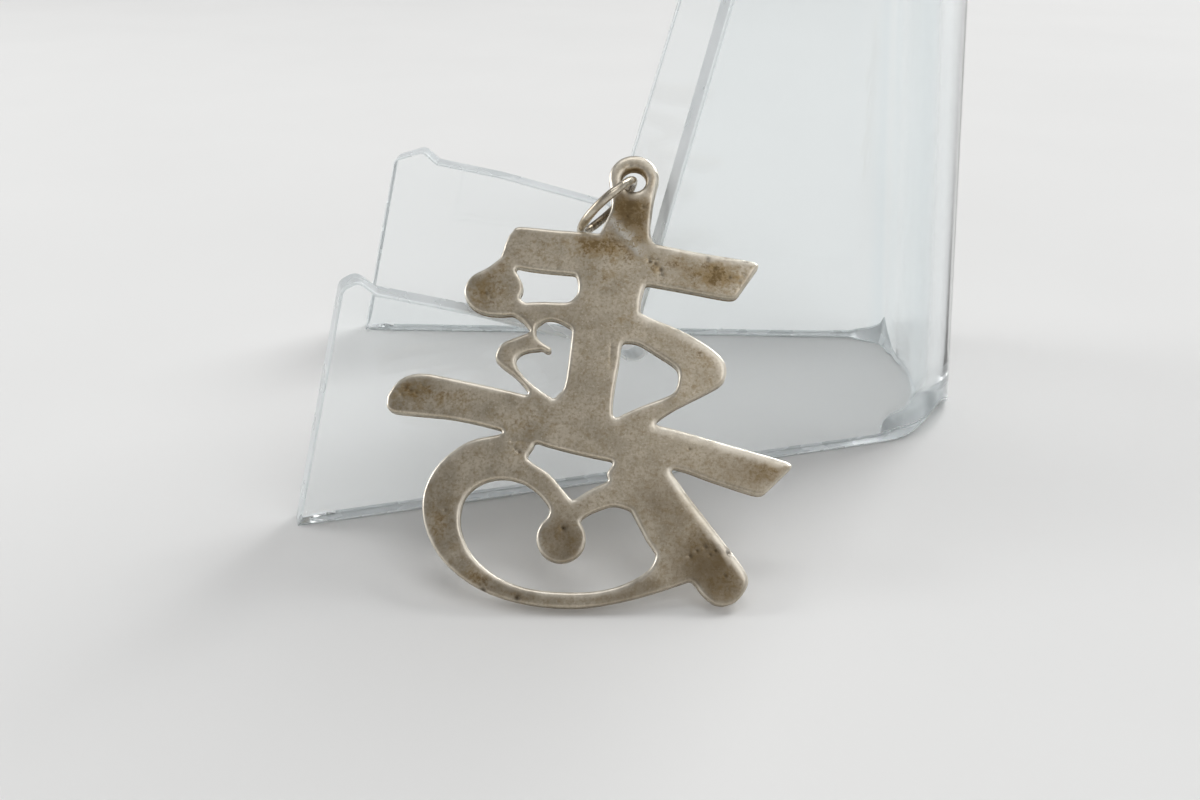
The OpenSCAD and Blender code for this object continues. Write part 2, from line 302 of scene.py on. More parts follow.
# Brown tarnish on the plate's face, in mm: x, y, radius across, radius up, strength
TARNISH = [
    (3.4, 41.4, 2.8, 3.0, 0.9), (4.2, 39.2, 1.8, 1.8, 0.8), (1.8, 42.8, 1.2, 1.4, 0.8),
    (5.7, 44.4, 0.9, 1.7, 0.7), (0.6, 37.9, 3.6, 1.7, 0.7), (-1.8, 38.4, 1.4, 1.2, 0.5),
    (3.6, 36.9, 1.8, 1.8, 0.4), (-5.6, 37.6, 2.6, 1.6, 0.14), (12.2, 34.6, 3.3, 1.6, 0.78),
    (14.2, 34.2, 1.5, 1.3, 0.5), (8.4, 35.6, 2.4, 1.3, 0.55), (5.8, 35.6, 0.9, 1.0, 0.55),
    (-19.4, 21.7, 2.6, 1.6, 0.62), (-15.6, 21.0, 2.4, 1.2, 0.4), (-12.2, 33.0, 2.0, 1.9, 0.6),
    (-10.6, 35.4, 1.4, 1.6, 0.35), (-16.2, 7.0, 1.4, 3.4, 0.42), (-12.4, 2.4, 1.8, 1.2, 0.5),
    (-8.4, 0.9, 1.0, 0.8, 0.4), (-3.7, 6.0, 2.6, 2.0, 0.25), (10.8, 5.6, 2.8, 1.8, 0.38),
    (12.4, 2.6, 2.0, 1.8, 0.45), (8.0, 9.0, 2.2, 3.0, 0.2), (0.6, 34.6, 2.4, 2.2, 0.2),
    (11.2, 25.6, 1.6, 1.4, 0.3), (16.4, 13.4, 1.9, 1.2, 0.45), (-8.0, 18.0, 3.4, 1.4, 0.2),
    (2.5, 29.4, 1.4, 1.0, 0.25), (-8.2, 15.4, 1.6, 1.2, 0.25)]

# Darker patina over larger areas, in mm: x, y, radius across, radius up, strength. The two wide spots along
# the bottom, at y 1.5 and 1.6, are partly painted shade that darkens the plate towards its bottom
PATINA_AND_SHADE = [
    (-3.7, 6.0, 3.4, 3.4, 0.62), (11.5, 3.9, 4.8, 4.6, 0.9), (-16.2, 8.0, 3.6, 8.0, 0.22),
    (-12.6, 32.8, 3.4, 3.2, 0.13), (-19.6, 21.4, 5.0, 2.6, 0.1), (-9.0, 1.5, 6.0, 2.0, 0.48),
    (7.5, 10.0, 4.5, 4.5, 0.46), (2.6, 1.6, 6.0, 2.0, 0.5), (11.0, 34.4, 4.5, 2.0, 0.27),
    (3.8, 41.6, 2.2, 2.8, 0.6), (10.5, 26.0, 4.0, 4.0, 0.14), (15.5, 13.6, 5.0, 2.8, 0.52),
    (3.0, 18.5, 6.0, 3.0, 0.13)]

# Short grooves and scratches in the face, in mm: start, end, width, depth
GROOVES = [
    ((-9.0, 16.4), (-7.0, 16.45), 0.12, 0.05), ((-6.0, 18.1), (-3.0, 18.2), 0.1, 0.02),
    ((14.6, 32.7), (14.9, 34.4), 0.09, 0.03), ((15.1, 33.2), (15.3, 34.6), 0.09, 0.03),
    ((5.1, 36.3), (6.1, 36.2), 0.13, 0.05), ((6.3, 35.0), (6.5, 34.4), 0.13, 0.05),
    ((1.0, 24.2), (1.15, 26.8), 0.08, 0.015)]

# The soldered seam between the plate and its tab, and the pale patch round it, in mm
SEAM = ((1.2, 40.8), (4.2, 37.0))
SOLDER = [
    (1.4, 40.3, 0.9, 0.7, 1.0), (3.0, 38.9, 1.1, 0.7, 0.9), (4.4, 37.6, 0.9, 0.8, 0.7),
    (6.9, 36.0, 0.8, 0.6, 0.5), (7.6, 34.9, 1.1, 0.5, 0.5)]


def marked_points():
    """Points of the drawing, in mm, that let the mesh follow the small pits and grooves."""
    for x, y, r, _, _ in PITS:
        yield np.array([[x, y]])
        for k in (0.5, 1.0, 1.6):
            turn = np.arange(8) * math.pi / 4 + k
            yield np.array([x, y]) + k * r * np.stack([np.cos(turn), np.sin(turn)], 1)
    for start, end, width, _ in GROOVES:
        start, end = np.array(start), np.array(end)
        side = np.array([start[1] - end[1], end[0] - start[0]]) / np.linalg.norm(end - start) * width
        steps = np.linspace(0, 1, int(np.linalg.norm(end - start) / 0.15))[:, None]
        for k in (-1.3, -0.5, 0.5, 1.3):
            yield start + k * side + steps * (end - start)


def outward(xy, depth, loops):
    """The outline's direction away from the material at the place nearest to each point, zero far inside."""
    border, normals = np.vstack(loops), np.vstack([inward(l) for l in loops])
    tree = kdtree.KDTree(len(border))
    for i, (x, y) in enumerate(border.tolist()):
        tree.insert((x, y, 0), i)
    tree.balance()
    out = np.zeros((len(xy), 2))
    for i in np.nonzero(depth < EDGE_REACH)[0].tolist():
        out[i] = -normals[tree.find((xy[i, 0], xy[i, 1], 0))[1]]
    return out


def bevel(xy, depth, loops):
    """The width, in mm, over which the face rounds off towards the outline. The upper right edges of the
    right half are worn widest, edges that look up are a little wider, and the tab's end is round."""
    away = outward(xy, depth, loops)
    worn = np.clip(away @ np.array([0.8, 0.6]), 0, 1) ** 1.5 / (1 + np.exp((4.0 - xy[:, 0]) / 0.8))
    worn *= np.clip(1.6 - depth, 0, 1) * np.where(xy[:, 1] > TAB_FOOT, 0.3, 1)
    top = np.clip(away[:, 1], 0, 1) ** 2
    width = 0.34 + 0.1 * waves(xy, 4.0, 1) + 0.05 * waves(xy, 1.2, 2)
    return width + 0.42 * worn + 0.2 * top + 0.3 * round_end(xy)


def round_end(xy):
    """1 on the tab's round end, 0 away from it."""
    return 1 / (1 + np.exp((np.linalg.norm(xy - TAB_HOLE, axis=1) - TAB_END_R) / 0.16))


def build_plate():
    loops = [resample(l, BORDER_STEP) for l in face_loops("openwork_plate")]
    for k, l in enumerate(loops):
        if k and np.linalg.norm(l.mean(0) - TAB_HOLE) < 0.3:
            turn = -np.linspace(0, 2 * math.pi, 60, endpoint=False)
            loops[k] = TAB_HOLE + TAB_HOLE_R * np.stack([np.cos(turn), np.sin(turn)], 1)
    loops = wound(loops)
    low, high = loops[0].min(0), loops[0].max(0)
    inner = []
    for k, y in enumerate(np.arange(low[1], high[1], FACE_STEP * ROW_SHARE)):
        x = np.arange(low[0] + (k % 2) * FACE_STEP / 2, high[0], FACE_STEP)
        inner.append(np.stack([x, np.full(len(x), y)], 1))
    inner = np.vstack(inner + list(marked_points()))

    def front(xy, depth):
        w = np.full(len(xy), PLATE_T)
        w -= 0.05 * (1 - waves(xy, 7.0, 3)) * 0.5 + 0.018 * (1 - waves(xy, 2.2, 4)) * 0.5
        w -= 0.008 * (1 - waves(xy, 0.9, 9)) * 0.5
        for x, y, r, deep, _ in PITS:
            w -= deep * np.exp(-((xy[:, 0] - x) ** 2 + (xy[:, 1] - y) ** 2) / r ** 2)
        for start, end, width, deep in GROOVES:
            w -= deep * along(xy, start, end, width)
        w += 0.03 * along(xy, *SEAM, 0.4)
        return np.minimum(w, PLATE_T) - rounding(depth, bevel(xy, depth, loops), 0.3 + 0.16 * round_end(xy))

    def back(xy, depth):
        return 0.02 * (1 + waves(xy, 6.0, 5)) * 0.5 + rounding(depth, 0.18, 0.16)

    def wall(l):
        return [(share, 0.012 + 0.012 * waves(np.column_stack([l, np.full(len(l), share * 2)]), 0.9, 6))
                for share in (0.3, 0.65)]

    obj, xy, w, depth = slab("plate", loops, PLATE_RINGS, inner, front, back, wall, from_plate, 0)
    face = np.clip((w - 0.3 * PLATE_T) / (0.3 * PLATE_T), 0, 1)
    away = outward(xy, depth, loops)
    # How much the outline faces down near each point: it adds painted shade to those walls and keeps the
    # rubbed rim's lighter colour off them
    down = np.clip((-away[:, 1] - 0.25) / 0.6, 0, 1)
    cloud = waves(xy, 2.5, 8, 3)
    tarnish_and_shade = spots(xy, TARNISH) * (1 + 0.4 * cloud) + 0.06 * (1 + waves(xy, 9.0, 10))
    hole = np.exp(-(np.maximum(np.linalg.norm(xy - TAB_HOLE, axis=1) - TAB_HOLE_R, 0) / 0.28) ** 2)
    tarnish_and_shade = np.maximum(tarnish_and_shade * np.clip(depth / 0.5, 0.2, 1), hole)
    # Away from the front face the tarnish is even and random, and walls that face down get more of it as
    # painted shade
    tarnish_and_shade = np.where(w > 0.4 * PLATE_T, tarnish_and_shade, 0.3 + 0.3 * cloud + 0.45 * down)
    attribute(obj, "tarnish_and_shade", tarnish_and_shade)
    # Patina, partly painted shade along the plate's bottom
    attribute(obj, "patina_and_shade", spots(xy, PATINA_AND_SHADE) * (1 + 0.25 * cloud) * face)
    # The rubbed rim's lighter colour is partly wear and partly a painted highlight, and it is kept off edges
    # that face down as painted shade
    rim_wear_and_highlight = np.exp(-(depth / (0.9 * bevel(xy, depth, loops))) ** 2)
    attribute(obj, "rim_wear_and_highlight", rim_wear_and_highlight * face * (1 - 0.8 * down) * (1 - 0.95 * hole))
    attribute(obj, "solder", np.maximum(along(xy, *SEAM, 0.5), 0.8 * spots(xy, SOLDER)) * face)
    attribute(obj, "pits", spots(xy, [(x, y, 1.1 * r, 1.1 * r, dark) for x, y, r, _, dark in PITS]) * face)
    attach(obj, "pendant_and_stand")
    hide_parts("openwork_plate")
    return obj


# The ring, as in the part's source, in mm: radii of ring and wire, where the wire's middle runs through the
# tab's hole and where it lies by the plate's edge, and how far the ring turns about the line between them
RING_R, WIRE_R = 3.85, 0.475
RING_IN, RING_OUT = np.array([3.6, 45.5]), np.array([-1.95, 40.3])
RING_TWIST = math.radians(8)


def build_ring():
    chord = RING_IN - RING_OUT
    long = np.linalg.norm(chord)
    set_back = math.sqrt(RING_R ** 2 - long ** 2 / 4)
    u2 = chord / long
    side2 = np.array([-u2[1], u2[0]])
    flat = np.array([u2[0], 0, 0]) + u2[1] * PLATE_UP
    side = np.array([side2[0], 0, 0]) + side2[1] * PLATE_UP
    out = math.cos(RING_TWIST) * PLATE_FRONT - math.sin(RING_TWIST) * side
    across = math.cos(RING_TWIST) * side + math.sin(RING_TWIST) * PLATE_FRONT
    middle2 = (RING_IN + RING_OUT) / 2
    middle = from_plate(middle2[None], np.array([PLATE_T / 2]))[0] / MM - set_back * out
    steps, sides = 160, 20
    turn = np.arange(steps) * 2 * math.pi / steps
    verts, seam, inside = [], [], []
    for a in turn:
        radial = math.cos(a) * flat + math.sin(a) * out
        wobble = 0.03 * math.sin(2 * a + 0.7) + 0.015 * math.sin(5 * a)
        centre = middle + (RING_R + wobble) * radial + 0.03 * math.sin(3 * a + 1.0) * across
        gap = math.exp(-((a - 4.2) / 0.05) ** 2)
        for j in range(sides):
            b = 2 * math.pi * j / sides
            r = WIRE_R * (1 + 0.02 * math.sin(7 * a + 2 * b) - 0.1 * gap)
            verts.append((centre + r * (math.cos(b) * radial + math.sin(b) * across)) * MM)
            seam.append(gap)
            # How far round the wire each point faces the ring's middle; the wire's material darkens that side
            # as painted shade
            inside.append(0.5 - 0.5 * math.cos(b))
    polys = []
    for k in range(steps):
        for j in range(sides):
            p, q = k * sides + j, k * sides + (j + 1) % sides
            r, s = (k + 1) % steps * sides + j, (k + 1) % steps * sides + (j + 1) % sides
            polys.append((p, q, s, r))
    mesh = bpy.data.meshes.new("ring_wire")
    mesh.from_pydata([tuple(v) for v in verts], [], polys)
    mesh.validate()
    mesh.shade_smooth()
    obj = bpy.data.objects.new("ring_wire", mesh)
    bpy.context.scene.collection.objects.link(obj)
    attribute(obj, "seam", np.array(seam))
    attribute(obj, "inside", np.array(inside))
    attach(obj, "ring")
    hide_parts("jump_ring")
    return obj


# The stand, as in the part's source, in mm and degrees. Pairs hold the front wing's value and the rear wing's
SHEET_T, BACK_H, SPINE_X = 3.0, 90.0, 41.7
SPINE_Y = (0.6, 34.7)
WING_TURN = (15.9, -2.3)
WING_RUN = (83.3, 83.35)
BEND_R = (16.0, 10.0)
BACK_LEAN, SPINE_LEAN = math.radians(16.2), math.radians(5.0)
RELIEF_R, BACK_CORNER_R = 1.5, 4.0
# Corners of each wing's foot as along, up and radius. The last is the corner between foot and back, and the
# relief hole's middle is given from there
FOOT_EDGES = (
    ((0, 0, 0), (7.3, 26.7, 1.2), (9.1, 27.5, 1.2), (10.9, 25.8, 0.6), (20.6, 22.75, 12), (37.9, 16.3, 0)),
    ((0, 0, 0), (6.7, 26.3, 1.2), (11, 27.6, 1.2), (12.9, 25.8, 0.6), (22.3, 23.9, 12), (38.7, 19.4, 0)))
RELIEF_AT = np.array([0.6, 0.5])
# How far each bend has drawn the sheet's bottom edge up, in mm: height, half width, sharpness
DRAWN_IN = ((3.0, 4.5, 2.0), (3.8, 2.6, 1.2))
# How far up that is felt, in mm
DRAWN_REACH = 6.0

# The sheet's mesh: steps between its upright columns of points, in degrees and in mm, the step along its
# steep or short edges, and the rings of points inside the outline that carry its rounded border
BEND_STEP, FLAT_STEP, EDGE_STEP = 3, 4, 1.2
SHEET_RINGS = (0.05, 0.12, 0.2, 0.3, 0.36)
# The turn between two points of a round corner, and the points round a relief hole
CORNER_STEP, RELIEF_SIDES = math.radians(10), 24
# Level edges longer than this, in mm, have their points at the columns
LEVEL_LONG = 20
# Rows of points by the sheet's level borders, in mm from the border, and the step between the other rows
BORDER_ROWS, ROW_STEP = np.array([0.8, 1.6, 2.5, 3.5]), 3.0
# The border's rounding as width and drop, and how far the sawn edge's material reaches on the faces, in mm
ROUND_WIDE, ROUND_DROP, EDGE_WIDE = 0.3, 0.26, 0.32
# The depth of the ripples in the bends, and how far out and how high up each bend pushes the inner face at
# its bottom, in mm
RIPPLE, BULGE, BULGE_REACH = 0.04, 1.1, 2.5
# The hollow of the sawn edge: shares of the sheet's thickness, and of the hollow's full depth there
SAWN_HOLLOW = ((0.04, 0.2), (0.2, 0.8), (0.5, 1), (0.8, 0.8), (0.96, 0.2))


def round_corner(a, b, c, r):
    """The corner at b as points of an arc of radius r."""
    a, b, c = (np.array(p, float)[:2] for p in (a, b, c))
    u, v = (a - b) / np.linalg.norm(a - b), (c - b) / np.linalg.norm(c - b)
    half = math.acos(float(np.clip(u @ v, -1, 1))) / 2
    middle = b + (u + v) / np.linalg.norm(u + v) * r / math.sin(half)
    p, q = b + u * r / math.tan(half), b + v * r / math.tan(half)
    start = math.atan2(*(p - middle)[::-1])
    sweep = math.atan2(*(q - middle)[::-1]) - start
    sweep = (sweep + math.pi) % (2 * math.pi) - math.pi
    n = max(2, math.ceil(abs(sweep) / CORNER_STEP))
    turn = start + sweep * np.arange(n + 1) / n
    return middle + r * np.stack([np.cos(turn), np.sin(turn)], 1)


def wing_edge(i):
    """The sawn edge of wing i from its bottom corner up to the back's top, in mm along the flat sheet and up.
    It is placed so that it comes where the source has it once the sheet leans."""
    foot = FOOT_EDGES[i]
    corner = np.array(foot[-1][:2])
    top = corner + (BACK_H - corner[1]) * np.array([math.tan(BACK_LEAN), 1])
    line = [np.array([[0.0, 0.0]])]
    for k in range(1, len(foot) - 1):
        line.append(round_corner(foot[k - 1], foot[k], foot[k + 1], foot[k][2]))
    before, relief = np.array(foot[-2][:2], float), corner + RELIEF_AT
    into = [meet_circle(before, corner, relief, True), meet_circle(corner, top, relief, False)]
    start, end = (math.atan2(*(p - relief)[::-1]) for p in into)
    sweep = (end - start) % (2 * math.pi)
    turn = start + sweep * np.arange(RELIEF_SIDES + 1) / RELIEF_SIDES
    line.append(relief + RELIEF_R * np.stack([np.cos(turn), np.sin(turn)], 1))
    line.append(round_corner(corner, top, top + [40, 0], BACK_CORNER_R))
    line = np.vstack(line)
    line[:, 0] += line[:, 1] * math.tan(SPINE_LEAN) * math.cos(math.radians(WING_TURN[i]))
    return line


def meet_circle(a, b, centre, first):
    """Where the line from a to b meets the relief hole's circle."""
    d = (b - a) / np.linalg.norm(b - a)
    along_d = (centre - a) @ d
    off = np.linalg.norm(centre - a - along_d * d)
    reach = math.sqrt(RELIEF_R ** 2 - off ** 2)
    return a + d * (along_d - reach if first else along_d + reach)


def sheet_path():
    """The outer face's line in plan: its start, its first heading, and its pieces as length and turn, in mm
    and radians."""
    ends = [np.array([SPINE_X, SPINE_Y[i]]) - WING_RUN[i] * np.array(
        [math.cos(math.radians(WING_TURN[i])), math.sin(math.radians(WING_TURN[i]))]) for i in (0, 1)]
    heading = math.radians(WING_TURN[0])
    bends = [math.pi / 2 - heading, math.pi / 2 + math.radians(WING_TURN[1])]
    cuts = [BEND_R[i] * math.tan(bends[i] / 2) for i in (0, 1)]
    spine = SPINE_Y[1] - SPINE_Y[0] - cuts[0] - cuts[1]
    return ends[0], heading, (WING_RUN[0] - cuts[0], 0), (BEND_R[0] * bends[0], bends[0]), (spine, 0), \
        (BEND_R[1] * bends[1], bends[1]), (WING_RUN[1] - cuts[1], 0)


START, HEADING, *PATH = sheet_path()
SHEET_LONG = sum(p[0] for p in PATH)


def from_sheet(sz, w):
    """Row-frame points, in metres, of the flat sheet bent to its plan, with its upright lines leaning towards
    the feet. w runs from the inner face to the outer."""
    s, z = sz[:, 0], sz[:, 1]
    out = np.zeros((len(s), 3))
    at, heading, first = START.copy(), HEADING, 0.0
    for k, (length, turn) in enumerate(PATH):
        last = k == len(PATH) - 1
        mask = (s >= first) & ((s < first + length) | last) if k else (s < first + length)
        q = s[mask] - first
        if turn:
            r = length / turn
            centre = at + r * np.array([-math.sin(heading), math.cos(heading)])
            a = heading - math.pi / 2 + q / r
            far = r - (SHEET_T - w[mask])
            out[mask, 0], out[mask, 1] = centre[0] + far * np.cos(a), centre[1] + far * np.sin(a)
            heading += turn
            a = heading - math.pi / 2
            at = centre + r * np.array([math.cos(a), math.sin(a)])
        else:
            side = np.array([-math.sin(heading), math.cos(heading)])
            ahead = np.array([math.cos(heading), math.sin(heading)])
            p = at + q[:, None] * ahead + (SHEET_T - w[mask])[:, None] * side
            out[mask, :2] = p
            at = at + length * ahead
        first += length
    out[:, 0] -= z * math.tan(SPINE_LEAN)
    up = drawn_in(s) * (0.25 + 0.75 * w / SHEET_T)
    out[:, 2] = z + up * (np.exp(-z / DRAWN_REACH) - 0.15 * np.exp((z - BACK_H) / DRAWN_REACH))
    return out * MM


def bend_share(s):
    """1 in the middle of the sheet's two bends, falling softly to 0 past their ends."""
    out, first = np.zeros(len(s)), 0
    for length, turn in PATH:
        if turn:
            reach = np.abs(s - first - length / 2) / (length / 2)
            out = np.maximum(out, 1 / (1 + np.exp((reach - 0.95) / 0.1)))
        first += length
    return out


def drawn_in(s):
    """How far, in mm, bending has drawn the outer face's bottom edge up."""
    out, first, bends = np.zeros(len(s)), 0, iter(DRAWN_IN)
    for length, turn in PATH:
        if turn:
            height, wide, sharp = next(bends)
            out += height * np.exp(-(np.abs(s - first - length / 2) / wide) ** sharp)
        first += length
    return out


def ripples(sz, seed):
    """Upright ripples, from 0 to 1, that bending leaves in the sheet's two bends."""
    return bend_share(sz[:, 0]) * np.clip(0.5 + 0.9 * waves(sz * np.array([1, 0.02]), 2.6, seed, 1), 0, 1)


def build_stand():
    front_edge, rear_edge = wing_edge(0), wing_edge(1)
    rear_edge = np.stack([SHEET_LONG - rear_edge[::-1, 0], rear_edge[::-1, 1]], 1)
    outline = np.vstack([front_edge, rear_edge])[::-1]
    columns, first = [], 0
    for length, turn in PATH:
        n = int(math.degrees(turn) / BEND_STEP) if turn else int(length / FLAT_STEP)
        columns += [first + length * k / n for k in range(n)]
        first += length
    dense = []
    for a, b in zip(outline, np.roll(outline, -1, 0)):
        if abs(b[1] - a[1]) < NEAR and abs(b[0] - a[0]) > LEVEL_LONG:
            between = [c for c in columns if min(a[0], b[0]) + 0.4 < c < max(a[0], b[0]) - 0.4]
            dense += [a] + [np.array([c, a[1]]) for c in sorted(between, reverse=bool(a[0] > b[0]))]
        else:
            n = max(1, int(np.linalg.norm(b - a) / EDGE_STEP))
            dense += [a + (b - a) * k / n for k in range(n)]
    rows = np.arange(5.0, BACK_H - 4.5, ROW_STEP)
    heights = np.concatenate([BORDER_ROWS, rows, BACK_H - BORDER_ROWS[::-1]])
    inner = np.array([(s, z) for s in columns for z in heights])

    def front(xy, depth):
        return SHEET_T - rounding(depth, ROUND_WIDE, ROUND_DROP) - RIPPLE * ripples(xy, 12)

    def back(xy, depth):
        bulge = BULGE * bend_share(xy[:, 0]) ** 2 * np.exp(-(xy[:, 1] / BULGE_REACH) ** 2)
        return rounding(depth, ROUND_WIDE, ROUND_DROP) + RIPPLE * ripples(xy, 13) - bulge

    def wall(l):
        bow = 0.025 + 0.02 * waves(l, 12.0, 11)
        return [(share, bow * hollow) for share, hollow in SAWN_HOLLOW]

    obj, sz, _, _ = slab("stand_sheet", wound([np.array(dense)]), SHEET_RINGS, inner, front, back, wall,
                         from_sheet, EDGE_WIDE)
    attribute(obj, "ripples", ripples(sz, 12))
    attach(obj, "pendant_and_stand")
    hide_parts("easel_stand")
    return obj


# Materials

ACRYLIC_IOR = 1.49


class Nodes:
    """A material's node tree, with short ways to add and join nodes."""

    def __init__(self, name):
        self.mat = bpy.data.materials.new(name)
        self.mat.use_nodes = True
        self.tree = self.mat.node_tree
        self.shader = self.tree.nodes["Principled BSDF"]
        self.coords = self.add("ShaderNodeTexCoord").outputs["Object"]

    def add(self, kind, **values):
        node = self.tree.nodes.new(kind)
        for key, value in values.items():
            setattr(node, key, value)
        return node

    def join(self, source, target):
        self.tree.links.new(source, target)

    def put(self, node, key, value):
        socket = node.inputs[key]
        if isinstance(value, bpy.types.NodeSocket):
            self.join(value, socket)
        else:
            socket.default_value = value

    def attribute(self, name):
        return self.add("ShaderNodeAttribute", attribute_name=name).outputs["Fac"]

    def noise(self, size, detail=3.0, rough=0.55, stretch=None, turn=(0, 0, 0)):
        """Noise with features about size mm wide, stretched along the object's axes."""
        vector = self.coords
        if stretch:
            mapping = self.add("ShaderNodeMapping")
            self.join(vector, mapping.inputs["Vector"])
            mapping.inputs["Rotation"].default_value = turn
            mapping.inputs["Scale"].default_value = stretch
            vector = mapping.outputs["Vector"]
        node = self.add("ShaderNodeTexNoise")
        self.join(vector, node.inputs["Vector"])
        node.inputs["Scale"].default_value = 1000.0 / size
        node.inputs["Detail"].default_value = detail
        node.inputs["Roughness"].default_value = rough
        return node.outputs["Fac"]

    def span(self, value, low, high, to_low=0.0, to_high=1.0):
        """The value's course from low to high, eased, as a number from to_low to to_high."""
        node = self.add("ShaderNodeMapRange", interpolation_type="SMOOTHSTEP")
        for key, v in (("Value", value), ("From Min", low), ("From Max", high),
                       ("To Min", to_low), ("To Max", to_high)):
            self.put(node, key, v)
        return node.outputs["Result"]

    def math(self, operation, a, b):
        node = self.add("ShaderNodeMath", operation=operation)
        self.put(node, 0, a)
        self.put(node, 1, b)
        return node.outputs["Value"]

    def mix(self, amount, a, b):
        """Colour a with the given share of colour b, which the node has at its sockets 6 and 7."""
        node = self.add("ShaderNodeMix", data_type="RGBA")
        self.put(node, 0, amount)
        for key, colour in ((6, a), (7, b)):
            self.put(node, key, colour if isinstance(colour, bpy.types.NodeSocket) else (*colour, 1))
        return node.outputs[2]

    def bump(self, height, distance_mm, strength=1.0, after=None):
        node = self.add("ShaderNodeBump")
        node.inputs["Strength"].default_value = strength
        node.inputs["Distance"].default_value = distance_mm * MM
        self.join(height, node.inputs["Height"])
        if after:
            self.join(after, node.inputs["Normal"])
        return node.outputs["Normal"]


def plate_silver():
    n = Nodes("tarnished_silver")
    tarnish_and_shade, patina_and_shade, rim_wear_and_highlight = n.attribute("tarnish_and_shade"), n.attribute("patina_and_shade"), n.attribute("rim_wear_and_highlight")
    solder, pits = n.attribute("solder"), n.attribute("pits")
    clouds = n.noise(3.0, 4, 0.6)
    mottle = n.noise(0.9, 4, 0.65)
    grain = n.noise(0.3, 3, 0.6)
    brushed = n.noise(0.25, 3, 0.6, stretch=(1, 0.12, 0.12), turn=(0, 0, 0.3))
    scratches = n.span(n.noise(0.16, 2, 0.5, stretch=(0.05, 1, 1), turn=(0.4, 0.5, 0.9)), 0.66, 0.72)
    broken = n.span(n.math("ADD", n.math("MULTIPLY", mottle, 0.6), n.math("MULTIPLY", grain, 0.4)), 0.3, 0.7)
    blots = n.math("ADD", n.math("MULTIPLY", n.noise(1.1, 5, 0.7), 0.7), n.math("MULTIPLY", grain, 0.3))
    blots = n.span(blots, 0.3, 0.7)
    warm = n.span(n.math("ADD", tarnish_and_shade, n.math("MULTIPLY", broken, 0.55)), 0.34, 1.15)
    brown = n.span(n.math("ADD", tarnish_and_shade, n.math("MULTIPLY", blots, 1.2)), 1.1, 1.65)
    # Bare silver with its mottle and grain
    colour = n.mix(n.span(clouds, 0.35, 0.65), (0.48, 0.42, 0.325), (0.60, 0.53, 0.42))
    colour = n.mix(n.span(mottle, 0.45, 0.7, 0.0, 0.55), colour, (0.38, 0.31, 0.21))
    colour = n.mix(n.span(grain, 0.4, 0.75, 0.0, 0.72), colour, (0.33, 0.272, 0.19))
    colour = n.mix(n.span(n.noise(0.24, 2, 0.5), 0.56, 0.74, 0.0, 0.5), colour, (0.72, 0.66, 0.55))
    # Tarnish and patina, which also carry painted shade on walls that face down and along the plate's bottom
    colour = n.mix(n.math("MULTIPLY", warm, 0.85), colour, (0.37, 0.262, 0.125))
    colour = n.mix(n.math("MULTIPLY", brown, 0.75), colour, (0.2, 0.13, 0.055))
    colour = n.mix(patina_and_shade, colour, (0.14, 0.097, 0.048))
    # Solder, rubbed edges lightened partly as wear and partly as a painted highlight, and pits
    colour = n.mix(n.math("MULTIPLY", solder, n.span(broken, 0.4, 0.55)), colour, (0.62, 0.59, 0.53))
    colour = n.mix(n.math("MULTIPLY", rim_wear_and_highlight, n.span(clouds, 0.3, 0.6, 0.5, 1.0)), colour, (0.92, 0.865, 0.76))
    colour = n.mix(n.math("MULTIPLY", pits, n.span(broken, 0.0, 0.5, 0.7, 1.0)), colour, (0.05, 0.035, 0.02))
    n.join(colour, n.shader.inputs["Base Color"])
    n.shader.inputs["Metallic"].default_value = 1.0
    rough = n.math("ADD", n.span(clouds, 0.3, 0.7, 0.36, 0.45), n.math("MULTIPLY", brown, 0.14))
    rough = n.math("SUBTRACT", rough, n.math("MULTIPLY", rim_wear_and_highlight, 0.06))
    n.join(rough, n.shader.inputs["Roughness"])
    normal = n.bump(mottle, 0.02, 0.6)
    normal = n.bump(grain, 0.012, 0.6, normal)
    normal = n.bump(brushed, 0.006, 0.5, normal)
    normal = n.bump(scratches, 0.006, 0.7, normal)
    n.join(normal, n.shader.inputs["Normal"])
    return n.mat


def wire_silver():
    n = Nodes("wire_silver")
    seam, inside = n.attribute("seam"), n.attribute("inside")
    clouds = n.noise(1.2, 3, 0.6)
    grain = n.noise(0.2, 2, 0.5)
    colour = n.mix(n.span(clouds, 0.4, 0.7), (0.58, 0.525, 0.43), (0.42, 0.365, 0.28))
    # Painted shade: the wire darkens towards the ring's inner side, with some random variation
    painted_inner_shade = n.math("ADD", n.span(inside, 0.35, 0.95), n.span(clouds, 0.3, 0.7, -0.2, 0.2))
    colour = n.mix(n.span(painted_inner_shade, 0.1, 0.9, 0.0, 0.85), colour, (0.2, 0.16, 0.11))
    colour = n.mix(seam, colour, (0.12, 0.09, 0.06))
    n.join(colour, n.shader.inputs["Base Color"])
    n.shader.inputs["Metallic"].default_value = 1.0
    n.join(n.span(clouds, 0.3, 0.7, 0.2, 0.34), n.shader.inputs["Roughness"])
    n.join(n.bump(grain, 0.006, 0.5), n.shader.inputs["Normal"])
    return n.mat


